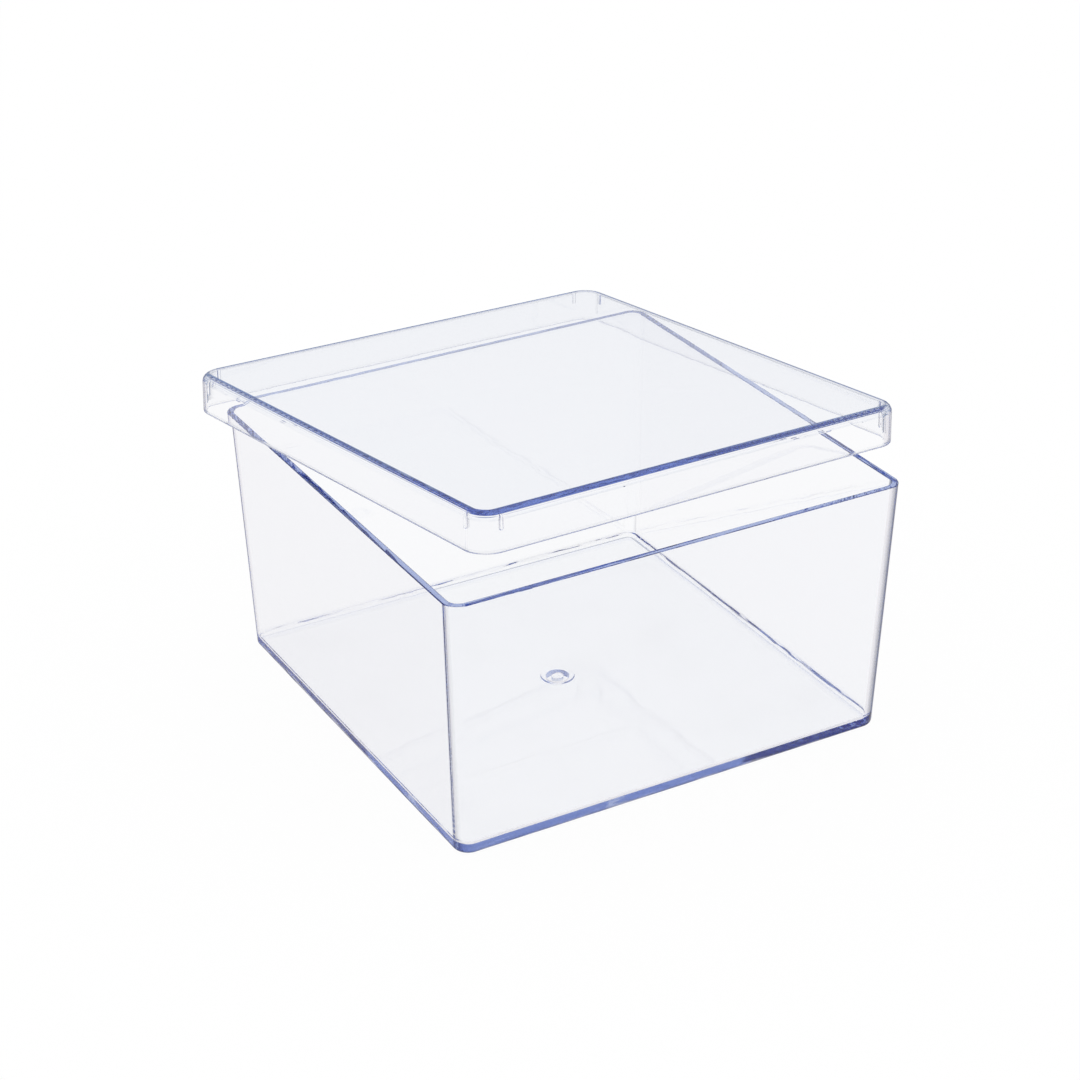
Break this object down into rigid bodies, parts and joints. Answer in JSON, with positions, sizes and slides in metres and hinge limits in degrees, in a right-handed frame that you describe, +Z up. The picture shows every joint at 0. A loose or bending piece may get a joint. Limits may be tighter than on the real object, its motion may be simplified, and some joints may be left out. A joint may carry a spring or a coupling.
{
  "type": "clear plastic cake box",
  "caption": "Clear square box with drafted walls and a separate shallow lift-off lid, here lying askew on the rim; holds a cake or small gifts.",
  "frame": {"origin": "middle of the footprint of the box with its lid as it lies, on the surface that the box stands on", "axes": "+Z up; the box's front and left walls, the two nearest in the picture, face -Y and -X, and its axis stands at x -5.4 mm, y -14.0 mm"},
  "size_m": [0.1714, 0.178, 0.1032],
  "materials": {
    "box_plastic": "polished, water clear with blue edges",
    "lid_plastic": "polished, water clear with blue edges"
  },
  "bodies": {
    "box_body": {"box_base": "box_plastic"},
    "lid_body": {"lid": "lid_plastic"}
  },
  "joints": [
    {"name": "lid_lift", "type": "slide", "parent": "box_body", "child": "lid_body", "axis": [0.0528, 0.0831, 0.9951], "range_m": [0, 0.12]}
  ]
}
